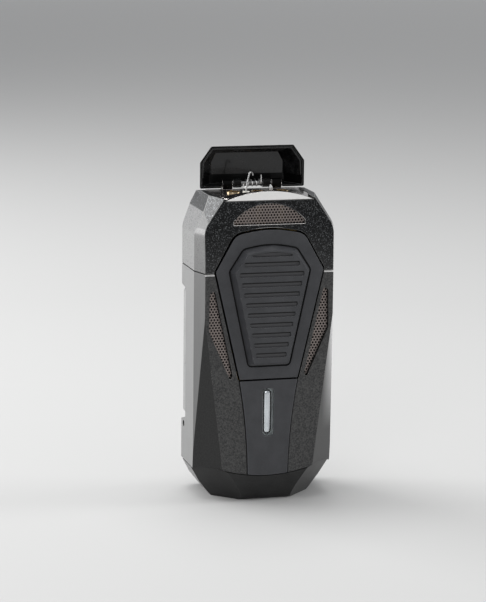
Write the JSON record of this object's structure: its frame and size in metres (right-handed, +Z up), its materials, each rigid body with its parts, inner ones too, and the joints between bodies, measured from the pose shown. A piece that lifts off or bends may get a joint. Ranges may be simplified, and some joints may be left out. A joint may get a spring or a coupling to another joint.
{
  "type": "triple-jet torch lighter",
  "caption": "Pocket torch lighter with hinged lid, sprung ribbed thumb trigger, jet burner deck, fuel window and a fold-out leaf at the rear.",
  "frame": {"origin": "centre of the base face that the lighter stands on", "axes": "+Z up along the body, -Y out of the front with the trigger, +X to the right"},
  "size_m": [0.0342, 0.0247, 0.0834],
  "materials": {
    "head_metal": "metallic flake",
    "housing_metal": "textured powder coat",
    "cap_coat": "satin",
    "slate_plastic": "matte",
    "window_clear": "clear",
    "mesh_steel": "perforated sheet",
    "deck_chrome": "polished",
    "jet_brass": "turned",
    "valve_brass": "turned",
    "pin_steel": "ground",
    "spring_steel": "drawn wire",
    "ceramic": "glazed",
    "lead_red": "smooth",
    "lid_metal": "metallic flake",
    "lid_black": "gloss",
    "frame_plastic": "moulded",
    "piezo_black": "moulded",
    "plunger_acetal": "smooth",
    "tube_nylon": "smooth",
    "tank_plastic": "moulded",
    "seal_rubber": "smooth",
    "leaf_steel": "brushed",
    "blade_steel": "ground"
  },
  "bodies": {
    "case": {"head_shell": "head_metal", "housing": "housing_metal", "bottom_cap": "cap_coat", "front_panel": "slate_plastic", "window_lens": "window_clear", "head_vent_mesh": "mesh_steel", "left_vent_mesh": "mesh_steel", "right_vent_mesh": "mesh_steel", "burner_deck": "deck_chrome", "jet_left": "jet_brass", "jet_centre": "jet_brass", "jet_right": "jet_brass", "manifold": "valve_brass", "electrode": "spring_steel", "insulator": "ceramic", "ground_post": "pin_steel", "ignition_lead": "lead_red", "lid_pin": "pin_steel", "lid_spring": "spring_steel", "trigger_pin": "pin_steel", "trigger_spring": "spring_steel", "chassis": "frame_plastic", "piezo_body": "piezo_black", "lever_pin": "pin_steel", "valve_body": "valve_brass", "gas_tube": "tube_nylon", "fuel_tank": "tank_plastic", "refill_body": "valve_brass", "refill_seal": "seal_rubber", "base_screws": "pin_steel", "leaf_pin": "pin_steel"},
    "lid": {"lid_shell": "lid_metal", "lid_liner": "lid_black"},
    "trigger": {"trigger_frame": "slate_plastic", "thumb_pad": "slate_plastic"},
    "plunger": {"piezo_plunger": "plunger_acetal"},
    "gas_lever": {"gas_lever": "pin_steel"},
    "valve_stem": {"valve_stem": "valve_brass"},
    "refill_stem": {"refill_stem": "valve_brass"},
    "flame_dial": {"flame_dial": "valve_brass"},
    "leaf": {"leaf": "leaf_steel", "leaf_blade": "blade_steel", "leaf_rivets": "valve_brass"}
  },
  "joints": [
    {"name": "lid_swing", "type": "hinge", "parent": "case", "child": "lid", "pos_m": [0, 0.0075, 0.0743], "axis": [1, 0, 0], "range_deg": [0, 90], "deforming": ["lid_spring"]},
    {"name": "trigger_press", "type": "hinge", "parent": "case", "child": "trigger", "pos_m": [0, -0.007, 0.032], "axis": [-1, 0, 0], "range_deg": [0, 6], "stiffness_Nm_per_rad": 0.6, "springref_deg": -1.15, "deforming": ["trigger_spring"]},
    {"name": "piezo_plunge", "type": "slide", "parent": "case", "child": "plunger", "axis": [0, 0, -1], "range_m": [0, 0.00364]},
    {"name": "gas_lever_turn", "type": "hinge", "parent": "case", "child": "gas_lever", "pos_m": [0, -0.001, 0.036], "axis": [-1, 0, 0], "range_deg": [0, 9.05]},
    {"name": "gas_valve_lift", "type": "slide", "parent": "case", "child": "valve_stem", "axis": [0, 0, 1], "range_m": [0, 0.00048]},
    {"name": "refill_press", "type": "slide", "parent": "case", "child": "refill_stem", "axis": [0, 0, 1], "range_m": [0, 0.0012], "stiffness_N_per_m": 400, "springref_m": -0.0005},
    {"name": "flame_adjust", "type": "hinge", "parent": "case", "child": "flame_dial", "pos_m": [0.0056, 0, 0], "axis": [0, 0, 1], "range_deg": [-90, 90]},
    {"name": "leaf_swing", "type": "hinge", "parent": "case", "child": "leaf", "pos_m": [0, 0.0047, 0.0164], "axis": [-1, 0, 0], "range_deg": [0, 90]}
  ],
  "couplings": [
    {"joint": "piezo_plunge", "follows": "trigger_press", "m_per_rad": 0.034709},
    {"joint": "gas_lever_turn", "follows": "trigger_press", "ratio": 1.5},
    {"joint": "gas_valve_lift", "follows": "trigger_press", "m_per_rad": 0.0044882}
  ]
}
